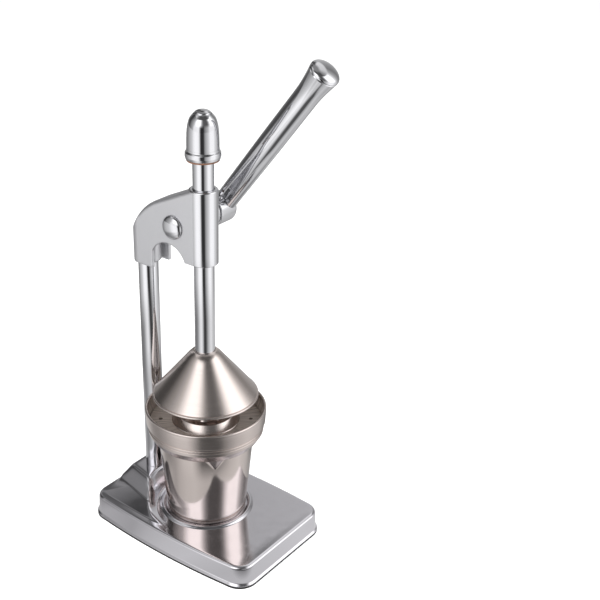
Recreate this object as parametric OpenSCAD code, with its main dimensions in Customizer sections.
// Lever citrus juice press. A pressed steel base carries a post, and a cast head on the post guides a
// ram with a pressing cone. A lever turns a pinion that drives the rack on the ram's back. A cup stands
// in a round seat on the base and carries a strainer with a reamer. Sizes in millimetres, +Z up, the
// front towards -Y, the origin on the ground under the middle of the base.

/* [Base] */
// Width of the base where its bowed sides are widest
base_w = 125; // [120:1:136]
// Length of the base, front to back
base_len = 179.8; // [176:1:196]
// How far each long side draws in from its widest place to the ends
side_bow = 5.6; // [0:0.2:8]
// Radius of the four corners in plan
corner_r = 17; // [12:1:20]
// Height of the flat top
tray_h = 21.1; // [18:0.5:24]
// Height of the raised hump's top, where the post stands
hump_h = 38; // [35:0.5:44]
// Thickness of the pressed sheet
pan_t = 1.5; // [1:0.1:2]
// Radius of the bead that seats the cup
seat_r = 38.9; // [38.5:0.1:40]
// Height of the rubber edge strip
trim_h = 2.2; // [1.6:0.1:3]

/* [Post and head] */
// Distance of the post's axis behind the ram's axis
post_gap = 61.5; // [61:0.5:66]
// Radius of the post
post_r = 8.6; // [8:0.1:8.8]
// Radius of the guide tube and of the rear socket
boss_r = 11.75; // [11.4:0.05:12.5]
// Height of the guide tube's top
tube_top = 317.9; // [316:0.5:322]
// Height of the guide tube's bottom
tube_bottom = 255.5; // [252:0.5:256]
// Height of the rear socket's bottom
socket_bottom = 242; // [238:1:244]
// Thickness of the head's side plates
plate_t = 3; // [2.4:0.2:3.4]
// Radius of the head's rounded back, seen from the side
crown_r = 56; // [54:0.5:58]
// Slope of the head's top behind the tube, in degrees
crown_slope = 25; // [20:1:27]
// Radius of the arch between tube and socket
arch_r = 19; // [17:0.5:19.5]

/* [Ram and presser] */
// Radius of the ram
ram_r = 8.5; // [8.2:0.1:8.6]
// Height of the cap's lower edge at rest
cap_bottom = 342.3; // [341.5:0.5:348]
// Height of the cap
cap_h = 38.4; // [34:0.4:42]
// Radius of the cap's body
cap_r = 12.9; // [12.4:0.1:14]
// Height of the presser's rim at rest
presser_z = 135; // [135:0.5:140]
// Height of the pressing cone from rim to neck
presser_h = 41.6; // [39:0.5:44]
// Radius of the presser's rim
presser_r = 45.3; // [43:0.5:46]
// Thickness of the presser's wall
presser_t = 1.6; // [1.2:0.1:2]

/* [Lever] */
// Height of the lever's shaft
shaft_z = 283.5; // [281:0.5:285]
// Radius of the shaft
shaft_r = 6; // [5:0.25:6.5]
// Gear module of the rack and pinion
gear_module = 2; // [2:0.01:2.02]
// Number of teeth on the pinion
pinion_teeth = 16; // [16:1:16]
// Side distance of the lever's bar from the middle plane
lever_x = 49.5; // [46:0.5:53]
// Length of the lever from the shaft's axis to its seam
lever_len = 158; // [130:2:170]
// Forward lean of the lever at rest, in degrees
lever_lean = 37.8; // [20:1:50]
// Radius of the lever's bar
lever_r = 9.8; // [9:0.1:10.5]
// Radius of the lever's hub
hub_r = 13.3; // [12.5:0.1:15]

/* [Cup and strainer] */
// Radius of the cup at its foot
cup_foot_r = 35.1; // [33:0.1:35.4]
// Radius of the cup at its rim
cup_rim_r = 41.2; // [40.6:0.1:42.5]
// Height of the cup
cup_h = 71.3; // [66:0.5:73]
// Thickness of the cup's wall
cup_t = 1; // [0.8:0.1:1.4]
// Radius of the strainer bowl's rim
bowl_rim_r = 52.2; // [51.6:0.1:52.4]
// Radius of the strainer bowl's wall
bowl_r = 49.9; // [49.4:0.1:50.4]
// Height of the strainer bowl
bowl_h = 29.6; // [28:0.4:32]
// Number of drain holes
drain_count = 10; // [6:1:16]
// Number of ribs on the reamer
rib_count = 10; // [8:1:14]

/* [Hidden] */
$fn = 96;

// Overrun of every cut
cut = 1;
// Clearance of parts that are lifted or turned by hand
loose = 0.3;
// Radial clearance of parts that slide or turn on each other
running = 0.05;
// Radial clearance of fixed parts
snug = 0.02;

// Places
ram_y = -1.4;
post_y = ram_y + post_gap;
bow_y = -6.7;

// Base pan. The wall draws in by each share of its whole inset at the share of its height beside it.
lip_w = 1.2;
lip_h = 1.2;
top_inset = 5.7;
wall_shares = [[0, 0], [0.2, 0.72], [0.4, 0.88], [0.66, 0.965], [1, 1]];
corner_steps = 6;
side_steps = 8;
// Rear hump: half widths and ends of its top, of the crease and of its toe
plateau_rear_w = 18;
plateau_front_w = 25;
plateau_rear_y = post_y + 16;
plateau_front_y = post_y - 25;
crease_z = tray_h + 4.4;
crease_rear_w = 26;
crease_front_w = 37;
crease_rear_y = post_y + 22.8;
crease_front_y = post_y - 31;
toe_rear_w = 49;
toe_front_w = 53;
toe_front_y = ram_y - 10;
hump_corner_r = 4;
skin = 0.2;
// The hump's front is cut to a round wall about the seat
seat_wall_r = 50;
seat_wall_y = ram_y - 5;
seat_wall_lean = 2.5;
seat_bead_r = 2.1;
// Rubber strip
trim_inset = 0.4;
trim_w = 4.5;
trim_lip_h = 4;
trim_gap = 0.4;

// Post and its fixings
post_top = 262;
spigot_r = 5;
spigot_low = 18.5;
backing_w = 28;
backing_len = 22;
backing_t = 4;
washer_r = 10;
washer_t = 1.6;
nut_across = 17;
nut_h = 8;

// Head
crown_fillet = 4;
crown_wall = 4;
crown_z = tube_bottom - 4.5;
arch_y = ram_y + 28.9;
arch_z = crown_z - 2;
arch_wall_y = post_y - boss_r - 3.7;
tube_edge = 2;
boss_edge = 1.5;
set_screw_r = 3;
set_screw_gap = 9;
set_screw_z = socket_bottom + 6;
// Bushes and the bore that takes them
bush_t = 1.5;
tube_lip_h = 4;
upper_bush_h = 13;
lower_bush_h = 9.5;
shaft_bush_t = 2;
shaft_boss_r = 12.2;

// Rack and pinion
pressure_angle = 20;
pitch_r = gear_module*pinion_teeth/2;
shaft_y = ram_y + pitch_r + 6.6;
rack_pitch_y = shaft_y - pitch_r;
tooth_gap = gear_module*PI;
root_clear = 0.5;
backlash = 0.15;
rack_w = 8.4;
rack_tip_y = ram_y + ram_r - 0.2;
gaps_below = 8;
gaps_above = 5;
pinion_w = 8;
pinion_boss_r = 10;
pinion_slot_w = 9.4;
key_w = 4;
key_h = 4;
key_len = 14;

// Ram, cap and presser
ram_seat = 6;
ram_low = presser_z + presser_h - 7.6;
ram_in_cap = 9.7;
collar_r = 14.2;
collar_h = 6.4;
collar_edge = 1.6;
// Half outline of the cap's body, as shares of its radius and height
cap_shares = [[1, 0.23], [1, 0.357], [0.985, 0.54], [0.946, 0.66], [0.9, 0.73], [0.837, 0.79],
    [0.75, 0.85], [0.63, 0.91], [0.46, 0.948]];
button_r = 5.4;
button_drop = 5;
cap_screw_r = 3;
cap_screw_head_r = 4.9;
cap_screw_head_h = 6;
cap_screw_len = 26;
cap_screw_seat = 24;
tap_depth = 4;
stop_t = 1.2;
stop_r = 13;
neck_r = 9.3;
shoulder_r = 18;
shoulder_h = 8.5;
// Presser's shoulder, as shares of its width and height
shoulder_shares = [[0, 1], [0.25, 0.86], [0.46, 0.67], [0.64, 0.5], [0.78, 0.33], [1, 0]];
presser_bead_r = 1.1;
presser_screw_r = 4;
presser_screw_head_r = 7.4;
presser_screw_len = 17;

// Lever
shaft_left = boss_r;
hub_gap = 0.5;
hub_in = 15;
hub_out = 5.8;
hub_edge = 3;
shaft_end_gap = 2.5;
bar_low_r = 9.2;
seam_r = 12;
flare_len = 26;
end_cap_h = 9;
end_cap_gap = 0.3;
end_spigot_r = 6;
end_spigot_len = 8;
pocket_low = 17;
pocket_high = 70;
pocket_half = 6.5;
pocket_depth = 3.6;
pocket_rib = 1.4;
pocket_count = 3;
dome_r = 10;
dome_h = 4.6;
dome_gap = 0.25;
dome_stud_r = 3;
dome_stud_len = 8;
hub_screw_r = 3;
hub_screw_len = 6;

// Cup
cup_z = tray_h + loose;
cup_edge = 3.5;
spout_turn = -129;
spout_out = 3;
spout_half = 8.5;
spout_drop = 10;
spout_depth = 9;
spout_sag = 0.9;
// Strainer and reamer
bowl_z = cup_z + cup_h + loose;
bowl_t = 1.2;
bowl_foot_r = 46;
bowl_foot_h = 8;
bowl_mouth_r = 38.2;
skirt_h = 5;
skirt_r = 39.1;
ledge_z = bowl_z + 13.1;
ledge_w = 2.4;
ledge_h = 1.2;
bowl_bead_r = 1.1;
fine_bead_r = 0.5;
fine_bead_drop = 3;
flare_low = 15;
flare_high = 23;
strainer_t = 1.2;
strainer_z = ledge_z + ledge_h;
drain_r = 1.8;
reamer_flange_r = 29.2;
drain_ring_r = (reamer_flange_r + bowl_r - bowl_t)/2;
reamer_flange_t = 1.5;
reamer_z = strainer_z + strainer_t;
reamer_r = 21;
reamer_step_h = 5;
reamer_top = presser_z + 1.5;
reamer_tip_share = 0.12;
reamer_mid_share = 0.66;
reamer_bulge_share = 0.5;
rib_share = 0.16;
rib_points = 8;
reamer_wall = 3;
spigot_ring_r = 18.5;
spigot_ring_t = 1.6;
spigot_ring_h = 3;

function half_w(y) = base_w/2 - side_bow*pow((y - bow_y)/(base_len/2), 2);

// The base's outline, drawn in all round by an inset
function right_side(inset) = let(yc = base_len/2 - corner_r) [
    for (i = [0:side_steps]) let(y = -yc + 2*yc*i/side_steps) [half_w(y) - inset, y]];
function rear_corner(inset) = let(yc = base_len/2 - corner_r) [
    for (i = [1:corner_steps]) let(a = 90*i/corner_steps)
        [half_w(yc) - corner_r + (corner_r - inset)*cos(a), yc + (corner_r - inset)*sin(a)]];
function front_corner(inset) = let(yc = base_len/2 - corner_r) [
    for (i = [corner_steps:-1:1]) let(a = 90*i/corner_steps)
        [half_w(-yc) - corner_r + (corner_r - inset)*cos(a), -yc - (corner_r - inset)*sin(a)]];
function right_half(inset) = concat(front_corner(inset), right_side(inset), rear_corner(inset));
function pan_outline(inset) = let(h = right_half(inset), n = len(h))
    concat(h, [for (i = [n - 1:-1:0]) [-h[i][0], h[i][1]]]);

module at_ram() translate([0, ram_y, 0]) children();
module at_post() translate([0, post_y, 0]) children();
module at_shaft() translate([0, shaft_y, shaft_z]) children();
module along_x(x0, x1) translate([x0, 0, 0]) rotate([90, 0, 90]) linear_extrude(x1 - x0) children();
module ring(r_out, r_in, z, h) translate([0, 0, z]) difference() {
    cylinder(r = r_out, h = h);
    translate([0, 0, -cut]) cylinder(r = r_in, h = h + 2*cut);
}
module bar_x(r, x0, x1) translate([x0, 0, 0]) rotate([0, 90, 0]) cylinder(r = r, h = x1 - x0);
// A round post with a broken edge at each end
module edged(r, z0, z1, low_edge, high_edge) rotate_extrude() polygon([[0, z0], [r - low_edge, z0],
    [r, z0 + low_edge], [r, z1 - high_edge], [r - high_edge, z1], [0, z1]]);

// Base
wall_h = tray_h - trim_h - skin;
module tray_form(t) hull() for (s = wall_shares) translate([0, 0, trim_h + wall_h*s[1] - t])
    linear_extrude(skin) polygon(pan_outline(lip_w + (top_inset - lip_w)*s[0] + t));
// A thin slab with round corners, wider in front than behind
function slab_corner(w, y, turn, t) = [for (a = [turn:15:turn + 90])
    [w + (hump_corner_r - t)*cos(a), y + (hump_corner_r - t)*sin(a)]];
module rounded_slab(rear_w, rear_y, front_w, front_y, z, t) translate([0, 0, z - t - skin])
    linear_extrude(skin) polygon(concat(
        slab_corner(rear_w - hump_corner_r, rear_y - hump_corner_r, 0, t),
        slab_corner(hump_corner_r - rear_w, rear_y - hump_corner_r, 90, t),
        slab_corner(hump_corner_r - front_w, front_y + hump_corner_r, 180, t),
        slab_corner(front_w - hump_corner_r, front_y + hump_corner_r, 270, t)));
module plateau_slab(t) rounded_slab(plateau_rear_w, plateau_rear_y, plateau_front_w,
    plateau_front_y, hump_h, t);
module crease_slab(t) rounded_slab(crease_rear_w, crease_rear_y, crease_front_w,
    crease_front_y, crease_z, t);
module toe_slab(t) rounded_slab(toe_rear_w, base_len/2 - top_inset, toe_front_w, toe_front_y,
    tray_h, t);
module hump_form(t) difference() {
    union() {
        hull() {
            plateau_slab(t);
            crease_slab(t);
        }
        hull() {
            crease_slab(t);
            toe_slab(t);
        }
    }
    translate([0, seat_wall_y, tray_h - t]) cylinder(r1 = seat_wall_r + t,
        r2 = seat_wall_r + seat_wall_lean + t, h = hump_h - tray_h + cut);
}
module base_pan() color("silver") difference() {
    union() {
        tray_form(0);
        hump_form(0);
        translate([0, 0, trim_h]) linear_extrude(lip_h) polygon(pan_outline(0));
        at_ram() translate([0, 0, tray_h]) rotate_extrude() translate([seat_r, 0])
            circle(r = seat_bead_r);
    }
    tray_form(pan_t);
    hump_form(pan_t);
    at_post() translate([0, 0, tray_h]) cylinder(r = spigot_r + loose, h = hump_h);
}
module edge_trim() color("black") difference() {
    union() {
        linear_extrude(trim_h) polygon(pan_outline(trim_inset));
        linear_extrude(trim_h + trim_lip_h) polygon(pan_outline(lip_w + pan_t + trim_gap));
    }
    translate([0, 0, -cut]) linear_extrude(trim_h + trim_lip_h + 2*cut)
        polygon(pan_outline(trim_inset + trim_w));
}

// Post and its fixings
plate_top = hump_h - pan_t;
module post() color("gainsboro") at_post() {
    translate([0, 0, hump_h]) cylinder(r = post_r, h = post_top - hump_h);
    translate([0, 0, spigot_low]) cylinder(r = spigot_r, h = hump_h - spigot_low);
}
module post_backing_plate() color("dimgray") at_post() difference() {
    translate([-backing_w/2, -backing_len/2, plate_top - backing_t - skin])
        cube([backing_w, backing_len, backing_t]);
    translate([0, 0, tray_h]) cylinder(r = spigot_r + running, h = hump_h);
}
washer_top = plate_top - backing_t - skin;
module post_washer() color("lightgray") at_post()
    ring(washer_r, spigot_r + running, washer_top - washer_t, washer_t);
module post_nut() color("lightgray") at_post() difference() {
    translate([0, 0, washer_top - washer_t - nut_h])
        cylinder(r = nut_across/2/cos(30), h = nut_h, $fn = 6);
    translate([0, 0, washer_top - washer_t - nut_h - cut])
        cylinder(r = spigot_r + snug, h = nut_h + 2*cut);
}

// Head
crown_y = post_y + boss_r - crown_r;
// Where the sloping top meets the rounded back
slope_y = crown_y + crown_r*sin(crown_slope);
slope_z = crown_z + crown_r*cos(crown_slope);
slope_len = (slope_y - ram_y)/cos(crown_slope);
module crown_side(inset) {
    translate([crown_y, crown_z]) circle(r = crown_r - inset, $fn = 160);
    translate([slope_y, slope_z]) rotate(180 - crown_slope) translate([0, inset])
        square([slope_len, crown_r - 2*inset]);
}
module crown_disc() translate([0, crown_y, crown_z]) rotate([0, 90, 0]) rotate_extrude($fn = 160)
    polygon(concat([[0, -boss_r], [crown_r - crown_fillet, -boss_r]],
        [for (a = [15:15:90]) [crown_r - crown_fillet + crown_fillet*sin(a),
            -boss_r + crown_fillet - crown_fillet*cos(a)]],
        [for (a = [90:-15:15]) [crown_r - crown_fillet + crown_fillet*sin(a),
            boss_r - crown_fillet + crown_fillet*cos(a)]],
        [[crown_r - crown_fillet, boss_r], [0, boss_r]]));
module crown_bar() translate([0, slope_y, slope_z]) rotate([-crown_slope, 0, 0])
    translate([0, 0, -crown_fillet]) rotate([90, 0, 0]) linear_extrude(slope_len)
        polygon(concat([[boss_r, -crown_r], [boss_r, 0]],
            [for (a = [15:15:90]) [boss_r - crown_fillet + crown_fillet*cos(a), crown_fillet*sin(a)]],
            [for (a = [90:15:165]) [-boss_r + crown_fillet + crown_fillet*cos(a), crown_fillet*sin(a)]],
            [[-boss_r, 0], [-boss_r, -crown_r]]));
module head_plan() {
    at_ram() circle(r = boss_r);
    at_post() circle(r = boss_r);
    translate([-boss_r, ram_y]) square([2*boss_r, post_gap]);
}
module arch_cut(half) {
    along_x(-half, half) intersection() {
        translate([arch_y, arch_z]) circle(r = arch_r);
        translate([ram_y, arch_z - arch_r]) square([arch_wall_y - ram_y, 2*arch_r]);
    }
    along_x(-half, half) translate([ram_y, socket_bottom - cut])
        square([arch_wall_y - ram_y, arch_z - socket_bottom + cut]);
    along_x(-half, half) translate([ram_y - boss_r - cut, socket_bottom - cut])
        square([arch_y - ram_y + boss_r + cut, tube_bottom - socket_bottom + cut]);
}
cavity_half = boss_r - plate_t;
tube_bore_r = ram_r + running + bush_t;
slot_reach = sqrt(pow(pitch_r + gear_module + cut, 2) - pow(shaft_y - ram_y - boss_r, 2));
module head_casting() color("darkgray") difference() {
    union() {
        difference() {
            intersection() {
                translate([0, 0, socket_bottom]) linear_extrude(tube_top - socket_bottom)
                    head_plan();
                union() {
                    crown_disc();
                    crown_bar();
                    at_post() edged(boss_r, socket_bottom, crown_z, boss_edge, 0);
                }
            }
            along_x(-cavity_half, cavity_half) intersection() {
                crown_side(crown_wall);
                translate([ram_y, socket_bottom - cut])
                    square([post_gap, tube_top - socket_bottom]);
            }
            arch_cut(boss_r + cut);
        }
        at_ram() edged(boss_r, tube_bottom, tube_top, boss_edge, tube_edge);
        intersection() {
            at_post() edged(boss_r, socket_bottom, shaft_z + boss_r, boss_edge, 0);
            along_x(-boss_r, boss_r) crown_side(crown_wall/2);
        }
        at_shaft() bar_x(shaft_boss_r, boss_r - plate_t, lever_x - hub_in - hub_gap);
    }
    at_ram() translate([0, 0, tube_bottom - cut])
        cylinder(r = tube_bore_r, h = tube_top - tube_bottom - tube_lip_h + cut);
    at_ram() translate([0, 0, tube_bottom]) cylinder(r = ram_r + 4*running, h = tube_top);
    at_post() translate([0, 0, socket_bottom - cut])
        cylinder(r = post_r + running, h = post_top - socket_bottom + 2*cut);
    at_shaft() bar_x(shaft_r + running + shaft_bush_t, -boss_r - cut, lever_x);
    translate([-pinion_slot_w/2, ram_y, shaft_z - slot_reach])
        cube([pinion_slot_w, boss_r + cut, 2*slot_reach]);
    for (i = [0, 1]) translate([0, post_y, set_screw_z + i*set_screw_gap]) rotate([-90, 0, 0])
        cylinder(r = set_screw_r + snug, h = boss_r + cut);
}
module head_set_screws() color("dimgray") for (i = [0, 1])
    translate([0, post_y + post_r + running, set_screw_z + i*set_screw_gap]) rotate([-90, 0, 0])
        cylinder(r = set_screw_r, h = boss_r - post_r - 2*skin);
module guide_bush_upper() color("goldenrod") at_ram() ring(tube_bore_r - snug, ram_r + running,
    tube_top - tube_lip_h - upper_bush_h, upper_bush_h);
module guide_bush_lower() color("goldenrod") at_ram() ring(tube_bore_r - snug, ram_r + running,
    tube_bottom + tube_edge, lower_bush_h);
module shaft_bush(x0, x1) at_shaft() difference() {
    bar_x(shaft_r + running + shaft_bush_t - snug, x0, x1);
    bar_x(shaft_r + running, x0 - cut, x1 + cut);
}
module shaft_bush_left() color("goldenrod") shaft_bush(-boss_r, -cavity_half);
module shaft_bush_right() color("goldenrod") shaft_bush(cavity_half, lever_x - hub_in - hub_gap);

// Ram, with rack teeth in its back
function gap_half(y) = tooth_gap/4 + (y - rack_pitch_y)*tan(pressure_angle) + backlash;
rack_root_y = rack_pitch_y - gear_module - root_clear;
rack_cut_y = ram_y + ram_r + cut;
rack_low = shaft_z - (gaps_below + 1/2)*tooth_gap;
rack_high = shaft_z + (gaps_above + 1/2)*tooth_gap;
ram_top = cap_bottom + ram_in_cap;
module ram_rack() color("gainsboro") difference() {
    at_ram() translate([0, 0, ram_low]) cylinder(r = ram_r, h = ram_top - ram_low);
    along_x(-rack_w/2, rack_w/2) for (i = [-gaps_below:gaps_above])
        translate([0, shaft_z + i*tooth_gap]) polygon([
            [rack_root_y, -gap_half(rack_root_y)], [rack_cut_y, -gap_half(rack_cut_y)],
            [rack_cut_y, gap_half(rack_cut_y)], [rack_root_y, gap_half(rack_root_y)]]);
    translate([-rack_w/2, rack_tip_y, rack_low]) cube([rack_w, ram_r, rack_high - rack_low]);
    at_ram() translate([0, 0, ram_low - cut]) cylinder(r = presser_screw_r + running,
        h = presser_screw_len - ram_seat + tap_depth + cut);
    at_ram() translate([0, 0, cap_bottom + cap_screw_seat - cap_screw_len - tap_depth])
        cylinder(r = cap_screw_r + running, h = cap_screw_len + cap_h);
}
button_z = cap_bottom + cap_h - button_drop;
module ram_cap() color("gainsboro") at_ram() difference() {
    rotate_extrude() polygon(concat(
        [[0, cap_bottom], [collar_r - collar_edge, cap_bottom], [collar_r, cap_bottom + collar_edge],
            [collar_r, cap_bottom + collar_h - collar_edge],
            [collar_r - collar_edge/2, cap_bottom + collar_h]],
        [for (s = cap_shares) [cap_r*s[0], cap_bottom + cap_h*s[1]]],
        [[0, cap_bottom + cap_h*cap_shares[len(cap_shares) - 1][1]]]));
    translate([0, 0, cap_bottom - cut]) cylinder(r = ram_r + running, h = ram_in_cap + cut + skin);
    translate([0, 0, cap_bottom]) cylinder(r = cap_screw_r + loose, h = cap_h);
    translate([0, 0, cap_bottom + cap_screw_seat]) cylinder(r = button_r + running, h = cap_h);
}
module cap_screw() color("dimgray") at_ram() {
    translate([0, 0, cap_bottom + cap_screw_seat])
        cylinder(r = cap_screw_head_r, h = cap_screw_head_h);
    translate([0, 0, cap_bottom + cap_screw_seat - cap_screw_len])
        cylinder(r = cap_screw_r, h = cap_screw_len);
}
// A disc that closes the cap, with a low dome
module cap_button() color("gainsboro") at_ram() rotate_extrude() {
    dome_z = cap_bottom + cap_h*cap_shares[len(cap_shares) - 1][1];
    polygon(concat([[0, button_z], [button_r, button_z]], [for (a = [0:10:90])
        [button_r*cos(a), dome_z + (cap_bottom + cap_h - dome_z)*sin(a)]]));
}
module stop_washer() color("sienna") at_ram()
    ring(stop_r, ram_r + loose, cap_bottom - stop_t, stop_t);

// Presser
presser_top = presser_z + presser_h;
cone_top_z = presser_top - shoulder_h;
cone_slope = (presser_r - shoulder_r)/(cone_top_z - presser_z);
wall_drop = presser_t*sqrt(1 + 1/pow(cone_slope, 2));
presser_under = ram_low - ram_seat;
module presser_cone() color("silver") at_ram() difference() {
    union() {
        rotate_extrude() polygon(concat([[0, presser_top]],
            [for (s = shoulder_shares) [neck_r + (shoulder_r - neck_r)*s[0],
                cone_top_z + shoulder_h*s[1]]],
            [[presser_r, presser_z], [presser_r - cone_slope*wall_drop, presser_z],
                [presser_r - cone_slope*(presser_under + wall_drop - presser_z), presser_under],
                [0, presser_under]]));
        translate([0, 0, presser_z]) rotate_extrude() translate([presser_r - presser_bead_r, 0])
            circle(r = presser_bead_r);
    }
    translate([0, 0, ram_low]) cylinder(r = ram_r + snug, h = presser_h);
    translate([0, 0, presser_z]) cylinder(r = presser_screw_r + running, h = presser_h);
    translate([0, 0, presser_under]) cylinder(r1 = presser_screw_head_r + running,
        r2 = presser_screw_r + running, h = presser_screw_head_r - presser_screw_r);
}
module presser_screw() color("dimgray") at_ram() translate([0, 0, presser_under]) {
    cylinder(r1 = presser_screw_head_r, r2 = presser_screw_r,
        h = presser_screw_head_r - presser_screw_r);
    cylinder(r = presser_screw_r, h = presser_screw_len);
}

// Pinion, with involute teeth
base_circle_r = pitch_r*cos(pressure_angle);
pinion_tip_r = pitch_r + gear_module;
pinion_root_r = pitch_r - gear_module - root_clear;
flank_steps = 5;
function involute(a) = tan(a) - a*PI/180;
function flank_angle(r) = 90/pinion_teeth + (involute(pressure_angle)
    - involute(acos(min(1, base_circle_r/max(r, base_circle_r)))))*180/PI;
function polar(r, a) = [r*cos(a), r*sin(a)];
function flank_r(i) = i == 0 ? pinion_root_r
    : base_circle_r + (pinion_tip_r - base_circle_r)*(i - 1)/(flank_steps - 1);
function pinion_tooth(mid) = concat(
    [for (i = [0:flank_steps]) polar(flank_r(i), mid - flank_angle(flank_r(i)))],
    [for (i = [flank_steps:-1:0]) polar(flank_r(i), mid + flank_angle(flank_r(i)))]);
module pinion_gear() color("slategray") at_shaft() difference() {
    union() {
        along_x(-pinion_w/2, pinion_w/2)
            polygon([for (i = [0:pinion_teeth - 1]) each pinion_tooth(360*i/pinion_teeth)]);
        bar_x(pinion_boss_r, -cavity_half + loose, cavity_half - loose);
    }
    bar_x(shaft_r + snug, -boss_r, boss_r);
    translate([-cavity_half, -key_w/2 - snug, 0])
        cube([2*cavity_half, key_w + 2*snug, shaft_r + key_h/2 + snug]);
}
module pinion_key() color("dimgray") at_shaft()
    translate([-key_len/2, -key_w/2, shaft_r - key_h/2]) cube([key_len, key_w, key_h]);
module lever_shaft() color("gainsboro") at_shaft() difference() {
    bar_x(shaft_r, -shaft_left, lever_x + hub_out - shaft_end_gap);
    translate([-key_len/2 - snug, -key_w/2 - snug, shaft_r - key_h/2 - snug])
        cube([key_len + 2*snug, key_w + 2*snug, key_h]);
    bar_x(dome_stud_r + running, -shaft_left - cut, -shaft_left + dome_stud_len + tap_depth);
}
module shaft_cap() color("gainsboro") at_shaft() translate([-shaft_left - dome_gap, 0, 0])
    rotate([0, -90, 0]) rotate_extrude() polygon(concat(
        [[0, -dome_stud_len], [dome_stud_r, -dome_stud_len], [dome_stud_r, 0], [dome_r, 0]],
        [for (a = [10:10:90]) [dome_r*cos(a), dome_h*sin(a)]]));

// Lever
module at_lever() translate([lever_x, shaft_y, shaft_z]) rotate([lever_lean, 0, 0]) children();
function bar_r(z) = z < lever_len - flare_len
    ? bar_low_r + (lever_r - bar_low_r)*min(1, 2*z/lever_len)
    : lever_r + (seam_r - lever_r)*(1 - cos(90*(z - lever_len + flare_len)/flare_len));
module lever_arm() color("silver") at_lever() difference() {
    union() {
        rotate([0, 90, 0]) edged(hub_r, -hub_in, hub_out, hub_edge/2, hub_edge);
        rotate_extrude() polygon(concat([[0, 0]],
            [for (i = [0:4]) [bar_r(lever_len*i/8), lever_len*i/8]],
            [for (i = [0:8]) let(z = lever_len - flare_len*(8 - i)/8) [bar_r(z), z]],
            [[0, lever_len]]));
    }
    bar_x(shaft_r + snug, -hub_in - cut, hub_out - shaft_end_gap + skin);
    // Tapering grooves in the side that faces the head, with ribs between them
    for (i = [0:pocket_count - 1]) let(step = 2*pocket_half/pocket_count,
        mid = -pocket_half + step*(i + 1/2), half = (step - pocket_rib)/2)
        along_x(-hub_r, -bar_low_r + pocket_depth)
            polygon([[mid - half, pocket_low], [mid + half, pocket_low], [mid/4, pocket_high]]);
    translate([0, 0, -hub_r - cut]) cylinder(r = hub_screw_r + snug, h = hub_r + cut);
    translate([0, 0, lever_len - end_spigot_len - end_cap_gap])
        cylinder(r = end_spigot_r + snug, h = end_spigot_len + cut);
}
module handle_end_cap() color("silver") at_lever() translate([0, 0, lever_len + end_cap_gap])
    rotate_extrude() polygon(concat([[0, -end_spigot_len], [end_spigot_r, -end_spigot_len],
        [end_spigot_r, 0], [seam_r, 0]],
        [for (a = [10:10:90]) [seam_r*cos(a), end_cap_h*sin(a)]]));
module hub_set_screw() color("dimgray") at_lever()
    translate([0, 0, -shaft_r - snug - hub_screw_len]) cylinder(r = hub_screw_r, h = hub_screw_len);

// Cup
function cup_r(z) = cup_foot_r + (cup_rim_r - cup_foot_r)*z/cup_h;
module cup_form(t, top) rotate_extrude() polygon(concat([[0, t]],
    [for (a = [0:15:90]) [cup_r(cup_edge) - cup_edge + (cup_edge - t)*sin(a),
        cup_edge - (cup_edge - t)*cos(a)]],
    [[cup_r(top) - t, top], [0, top]]));
// The spout's outer edge leans out from the cup's wall to the rim, and its two sides form a V
spout_root_r = cup_r(cup_h - spout_drop);
spout_tilt = atan((cup_rim_r + spout_out - spout_root_r)/spout_drop);
spout_back_half = spout_depth*spout_half/(spout_out + spout_sag);
spout_edge = sqrt(1 + pow(spout_depth/spout_back_half, 2));
module spout_form(t, top) rotate(spout_turn) intersection() {
    translate([spout_root_r, 0, cup_h - spout_drop]) rotate([0, spout_tilt, 0])
        translate([-t*spout_edge, 0, -spout_drop]) linear_extrude(3*spout_drop)
            polygon([[0, 0], [-spout_depth, spout_back_half], [-spout_depth, -spout_back_half]]);
    translate([0, -cup_rim_r, cup_h - 3*spout_drop])
        cube([2*cup_rim_r, 2*cup_rim_r, 3*spout_drop + top - cup_h]);
}
module cup() color("silver") at_ram() translate([0, 0, cup_z]) difference() {
    union() {
        cup_form(0, cup_h + cut);
        spout_form(0, cup_h + cut);
    }
    cup_form(cup_t, cup_h + 2*cut);
    spout_form(cup_t, cup_h + 2*cut);
    translate([0, 0, cup_h]) cylinder(r = 2*cup_rim_r, h = 3*cut);
}

// Strainer bowl: a collar with a stepped wall, a ledge for the plate and a skirt inside the cup's rim
function bowl_wall(t) = concat(
    [for (a = [0:18:90]) [bowl_foot_r + (bowl_r - bowl_foot_r)*sin(a) - t,
        bowl_z + bowl_foot_h*(1 - cos(a))]],
    [[bowl_r - t, bowl_z + flare_low]],
    [for (i = [1:6]) let(s = (1 - cos(30*i))/2)
        [bowl_r + (bowl_rim_r - bowl_r)*s - t, bowl_z + flare_low + (flare_high - flare_low)*i/6]],
    [[bowl_rim_r - t, bowl_z + bowl_h - bowl_bead_r]]);
function reversed(list) = [for (i = [len(list) - 1:-1:0]) list[i]];
module strainer_bowl() color("rosybrown") at_ram() {
    rotate_extrude() polygon(concat(bowl_wall(0), reversed(bowl_wall(bowl_t))));
    translate([0, 0, bowl_z + bowl_h - bowl_bead_r]) rotate_extrude()
        translate([bowl_rim_r - bowl_bead_r, 0]) circle(r = bowl_bead_r);
    for (i = [0, 1]) translate([0, 0, bowl_z + bowl_foot_h + i*fine_bead_drop]) rotate_extrude()
        translate([bowl_r - fine_bead_r/2, 0]) circle(r = fine_bead_r, $fn = 24);
    ring(bowl_foot_r, bowl_mouth_r, bowl_z, bowl_t);
    ring(skirt_r, bowl_mouth_r, bowl_z - skirt_h, skirt_h + skin);
    ring(bowl_r - bowl_t/2, bowl_r - bowl_t - ledge_w, ledge_z, ledge_h);
}
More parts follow.
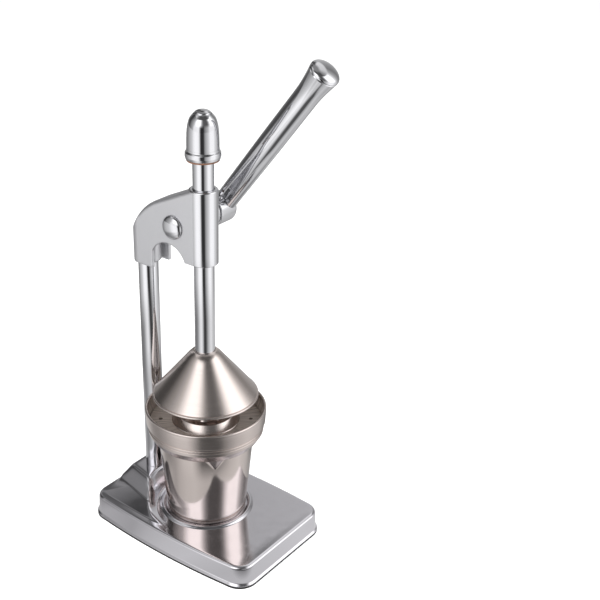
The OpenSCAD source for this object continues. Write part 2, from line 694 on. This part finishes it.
module strainer_plate() color("dimgray") at_ram() difference() {
    ring(bowl_r - bowl_t - loose, spigot_ring_r + loose, strainer_z, strainer_t);
    for (i = [0:drain_count - 1]) rotate(360*i/drain_count) translate([drain_ring_r, 0, ledge_z])
        cylinder(r = drain_r, h = ledge_h + strainer_t + cut);
}

// Reamer: a flange, a step, and a ribbed point that narrows in two stages
reamer_body_z = reamer_z + reamer_step_h;
reamer_body_h = reamer_top - reamer_body_z;
function rib_outline(r) = [for (i = [0:rib_count*rib_points - 1])
    let(a = 360*i/(rib_count*rib_points)) polar(r*(1 - rib_share*(1 - cos(rib_count*a))/2), a)];
module reamer() color("gainsboro") at_ram() difference() {
    union() {
        translate([0, 0, reamer_z]) cylinder(r = reamer_flange_r, h = reamer_flange_t);
        translate([0, 0, reamer_z + reamer_flange_t - skin])
            cylinder(r1 = reamer_flange_r - reamer_flange_t, r2 = reamer_r,
                h = reamer_step_h - reamer_flange_t + 2*skin);
        ring(spigot_ring_r, spigot_ring_r - spigot_ring_t, reamer_z - spigot_ring_h,
            spigot_ring_h + reamer_flange_t);
        translate([0, 0, reamer_body_z]) linear_extrude(reamer_body_h*reamer_bulge_share,
            scale = reamer_mid_share) polygon(rib_outline(reamer_r));
        translate([0, 0, reamer_body_z + reamer_body_h*reamer_bulge_share - skin])
            linear_extrude(reamer_body_h*(1 - reamer_bulge_share) + skin,
                scale = reamer_tip_share/reamer_mid_share)
                    polygon(rib_outline(reamer_r*reamer_mid_share));
    }
    translate([0, 0, reamer_z - cut]) cylinder(r1 = spigot_ring_r - spigot_ring_t,
        r2 = reamer_wall, h = reamer_body_h);
}

base_pan();
edge_trim();
post();
post_backing_plate();
post_washer();
post_nut();
head_casting();
head_set_screws();
guide_bush_upper();
guide_bush_lower();
shaft_bush_left();
shaft_bush_right();
ram_rack();
ram_cap();
cap_screw();
cap_button();
stop_washer();
presser_cone();
presser_screw();
lever_shaft();
pinion_gear();
pinion_key();
shaft_cap();
lever_arm();
handle_end_cap();
hub_set_screw();
cup();
strainer_bowl();
strainer_plate();
reamer();
